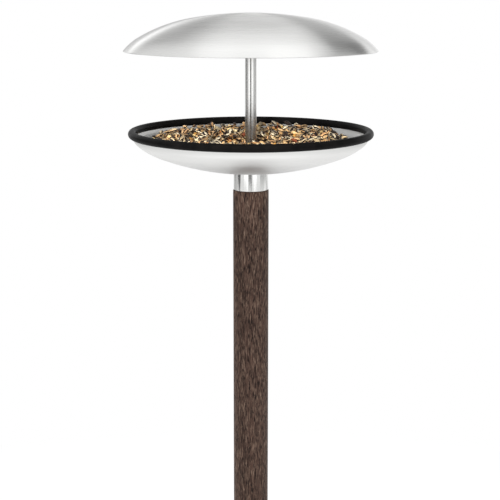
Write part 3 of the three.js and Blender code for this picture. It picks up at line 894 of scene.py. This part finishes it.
class Pile:
    """Height map of the seed bed, on which grains are laid one by one."""

    def __init__(self, bed):
        self.half = int(math.ceil(bed.inner[-1][0] / CELL)) + MAP_MARGIN
        axis = (np.arange(2 * self.half + 1) - self.half) * CELL
        self.x, self.y = np.meshgrid(axis, axis, indexing="ij")
        radius = np.hypot(self.x, self.y)
        self.base = bed.filler
        self.height = np.maximum(bed.filler(radius), bed.wall(radius))

    def at(self, x, y):
        i = np.clip(np.rint(np.asarray(x) / CELL).astype(int) + self.half, 0, 2 * self.half)
        j = np.clip(np.rint(np.asarray(y) / CELL).astype(int) + self.half, 0, 2 * self.half)
        return self.height[i, j]

    def slope(self, x, y, along_x, along_y, half):
        """Slope of the bed between the places where a grain rests, so long either way."""
        low, high = (
            self.at(x + along_x * half * s, y + along_y * half * s) for s in (-REST_SHARE, REST_SHARE)
        )
        return (high - low) / (2 * REST_SHARE * half)

    def try_place(self, grain):
        """How a grain would lie here, leaning as the bed does.

        Gives how high it stands over the bed, the level of its middle, its directions and slopes, and
        the cells under it with their new heights.
        """
        x, y, yaw, size, tilt = grain
        half_length, half_width, half_thick = (side / 2 for side in size)
        u = np.array((math.cos(yaw), math.sin(yaw)))
        v = np.array((-u[1], u[0]))
        pitch, roll = (
            np.clip(self.slope(x, y, *way, half) + lean, -MAX_LEAN, MAX_LEAN)
            for way, half, lean in ((u, half_length, tilt[0]), (v, half_width, tilt[1]))
        )
        i0, j0 = (int(round(c / CELL)) + self.half for c in (x, y))
        reach = int(math.ceil(half_length / CELL)) + 1
        window = (slice(i0 - reach, i0 + reach + 1), slice(j0 - reach, j0 + reach + 1))
        dx, dy = self.x[window] - x, self.y[window] - y
        a, b = dx * u[0] + dy * u[1], dx * v[0] + dy * v[1]
        inside = (a / half_length) ** 2 + (b / half_width) ** 2
        covered = inside < 1
        rise = a * pitch + b * roll
        cap = half_thick * np.sqrt(np.clip(1 - inside, 0, 1))
        level = (self.height[window] - rise + cap)[covered].max() - SINK_SHARE * half_thick
        surface = np.where(covered, level + rise + cap, -1.0)
        stands = surface.max() - self.base(math.hypot(x, y))
        return stands, level, (u, v, pitch, roll), window, surface, (x, y)

    def lay(self, grains):
        """Lays one grain, in the lowest of these ways, and gives its turned axes and its middle."""
        trials = [self.try_place(grain) for grain in grains]
        _, level, axes, window, surface, (x, y) = min(trials, key=lambda trial: trial[0])
        u, v, pitch, roll = axes
        self.height[window] = np.maximum(self.height[window], surface)
        forward = Vector((u[0], u[1], pitch)).normalized()
        up = Vector((-pitch * u[0] - roll * v[0], -pitch * u[1] - roll * v[1], 1)).normalized()
        across = up.cross(forward).normalized()
        turned = np.array(Matrix((forward, across, forward.cross(across))).transposed())
        return turned, np.array((x, y, level))


def spindle(rings, sides, width_at, change=None):
    """Grain about the X axis, 1 long, wide and thick: (points, faces). change alters each point."""
    points = [(-0.5, 0, 0)]
    for ring in range(1, rings):
        share = 0.5 - 0.5 * math.cos(math.pi * ring / rings)
        width = width_at(share)
        for turn in turns(sides):
            points.append((share - 0.5, width * math.cos(turn), width * math.sin(turn)))
    points.append((0.5, 0, 0))
    if change:
        points = [change(point) for point in points]
    last = len(points) - 1
    start = 1 + (rings - 2) * sides
    faces = []
    for side in range(sides):
        after = (side + 1) % sides
        faces.append((0, 1 + after, 1 + side))
        faces.append((start + side, start + after, last))
        for ring in range(rings - 2):
            low, high = 1 + ring * sides, 1 + (ring + 1) * sides
            faces.append((low + side, low + after, high + after, high + side))
    return np.array(points), faces


def drop_width(share):
    """Half width of a seed with one narrow end."""
    return 0.5 * math.sin(math.pi * share**1.35) ** 0.8


def oval_width(share):
    """Half width of a grain that is blunt at both ends."""
    return 0.5 * math.sin(math.pi * share) ** 0.72


def flat_below(point):
    """Cuts a grain flat on one side, as a split nut is."""
    x, y, z = point
    return x, y, max(z, NUT_FLAT)


def broken(chance):
    """Shifts each point at random, as on a piece of broken grain."""

    def change(point):
        return tuple(c * chance.uniform(*CHIP_SHARES) for c in point)

    return change


def grain_forms():
    """Unit forms of the grains, by name."""
    chance = random.Random(SEED_START)
    return {
        "drop": [spindle(9, 8, drop_width)],
        "oval": [spindle(7, 6, oval_width)],
        "ball": [spindle(5, 6, oval_width)],
        "half": [spindle(7, 9, oval_width, flat_below)],
        "chip": [spindle(5, 6, oval_width, broken(chance)) for _ in range(CHIP_FORMS)],
    }


def clear_of_rod(x, y, yaw, size):
    """Whether a grain here stays outside the hole that is left round the rod."""
    around = np.arange(16) * math.pi / 8
    a, b = size[0] / 2 * np.cos(around), size[1] / 2 * np.sin(around)
    edge_x = x + a * math.cos(yaw) - b * math.sin(yaw)
    edge_y = y + a * math.sin(yaw) + b * math.cos(yaw)
    return np.hypot(edge_x, edge_y).min() > BED_HOLE


def lay_grains():
    """Lays every grain of GRAIN_KINDS in mixed order.

    Gives for each group its grains as (form, size, turned, place, colour).
    """
    chance = random.Random(SEED_START + 1)
    forms = grain_forms()
    orders = [kind for kind in GRAIN_KINDS for _ in range(kind[1])]
    orders.sort(key=lambda kind: chance.random() + RISE_SHARE * (kind[2][0] > BIG_GRAIN))
    pile = Pile(Bed())
    groups = {kind[0]: [] for kind in GRAIN_KINDS}
    for group, _, lengths, form, colours in orders:
        growth = chance.gauss(1, GROWTH_SPREAD)
        size = [length * MM * growth * chance.gauss(1, SHAPE_SPREAD) for length in lengths]
        reach = BED_EDGE_RADIUS - EDGE_SHARE * size[0]
        tilt = [chance.gauss(0, spread) for spread in TILT_SPREADS]
        trials = []
        while len(trials) < PLACE_TRIES:
            radius, turn = reach * math.sqrt(chance.random()), 2 * math.pi * chance.random()
            x, y, yaw = radius * math.cos(turn), radius * math.sin(turn), 2 * math.pi * chance.random()
            if clear_of_rod(x, y, yaw, size):
                trials.append((x, y, yaw, size, tilt))
        turned, place = pile.lay(trials)
        tone = chance.uniform(*TONES)
        colour = [tone * part for part in chance.choice(colours)]
        groups[group].append((chance.choice(forms[form]), size, turned, place, colour))
    return groups


def seed_mesh(name, grains):
    """One mesh of many grains, with each grain's colour and each vertex's place in its grain."""
    points, faces, places, colours, first = [], [], [], [], 0
    for (form_points, form_faces), size, turned, place, colour in grains:
        points.append((form_points * size) @ turned.T + place)
        faces += [tuple(first + corner for corner in face) for face in form_faces]
        places.append(form_points)
        colours.append(np.tile(colour, (len(form_points), 1)))
        first += len(form_points)
    mesh = bpy.data.meshes.new(name)
    mesh.from_pydata(np.concatenate(points).tolist(), [], faces)
    mesh.shade_smooth()
    for layer, values in (("grain_place", places), ("grain_colour", colours)):
        data = mesh.attributes.new(layer, "FLOAT_VECTOR", "POINT").data
        data.foreach_set("vector", np.concatenate(values).astype(np.float32).ravel())
    return mesh


def make_seeds(materials):
    """Loose grains, in one piece for each group."""
    for group, grains in lay_grains().items():
        mesh = seed_mesh(f"seed_{group}", grains)
        add_object(f"seed_{group}", mesh, "dish", "bird_seed", materials[group], "seed_bed")


def make_filler(material):
    """Body of the seed bed, below the loose grains and clear of the dish and the rod."""
    bed = Bed()
    inner = [point for point in bed.inner if point[0] < BED_EDGE_RADIUS - MM]
    floor = top("dish_gasket") + SHEET + 2 * SEAT_GAP
    outline = [(BED_HOLE, floor)]
    outline += [(radius, height + FILLER_GAP) for radius, height in inner[1:]]
    edge = inner[-1][0]
    for step in range(FILLER_STEPS + 1):
        radius = edge + (BED_HOLE - edge) * step / FILLER_STEPS
        if bed.filler(radius) > bed.wall(radius) + MM:
            outline.append((radius, float(bed.filler(radius))))
    mesh = lathe("seed_filler", outline, FINE_SIDES)
    add_object("seed_filler", mesh, "dish", "bird_seed", material, "seed_bed")


# Camera, studio and materials come first, then the pieces
make_camera()
make_world()
make_floor()
make_seed_lamp()

ROOF_STEEL = ring_steel("roof_steel", 0.28, 1.0)
DISH_STEEL = ring_steel("dish_steel", 0.45, 0.6, across=0.0)
TUBE_STEEL = ring_steel("tube_steel", 0.16, 1.0)
PLAIN = plain_steel()
RUBBER = black_rubber()
WOOD = dark_wood()

make_roof(ROOF_STEEL)
make_dish(DISH_STEEL)
make_bead(RUBBER)
ROD_BORE = outer_radius("roof_rod") - ROD_WALL
COLLAR_BORE = outer_radius("collar_tube") - COLLAR_WALL
make_ring("rod_tube", "roof_rod", "roof", "brushed_steel", TUBE_STEEL, ROD_BORE, sides=SMALL_SIDES)
make_ring("collar_steel", "collar_tube", "post", "brushed_steel", TUBE_STEEL, COLLAR_BORE, COLLAR_EDGE)
make_post(WOOD)
make_flange(PLAIN)
make_spike_welds(PLAIN)
make_boss(PLAIN)
make_threaded_stud(PLAIN)
STUD_HOLE = outer_radius("clamp_stud") + SEAT_GAP
make_ring("gasket_moulded", "dish_gasket", "post", "black_rubber", RUBBER, STUD_HOLE)
make_ring("washer_moulded", "rod_washer", "roof", "black_rubber", RUBBER, STUD_HOLE, sides=SMALL_SIDES)
make_filler(seed_filling_painted_shade())
GRAIN = grain_seed()
make_seeds({"sunflower": sunflower_seed(), "grain": GRAIN, "berry": GRAIN, "kernel": kernel_seed()})

# CAD nodes that stay, all of plain steel
KEPT_NODES = (
    "spike_blade spike_fin_back spike_fin_front spike_stud post_foot_insert collar_plate collar_nut "
    "collar_screw_1 collar_screw_2 collar_screw_3 rod_foot_plug rod_head_plug roof_stud"
)
for name in KEPT_NODES.split():
    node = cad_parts[name]
    for slot in node.material_slots:
        slot.material = PLAIN
    if name.startswith("spike"):
        bevel = node.modifiers.new("edges", "BEVEL")
        bevel.width = PLATE_BEVEL
        bevel.segments = 2
        bevel.limit_method = "ANGLE"

bpy.context.scene.view_settings.view_transform = "Standard"
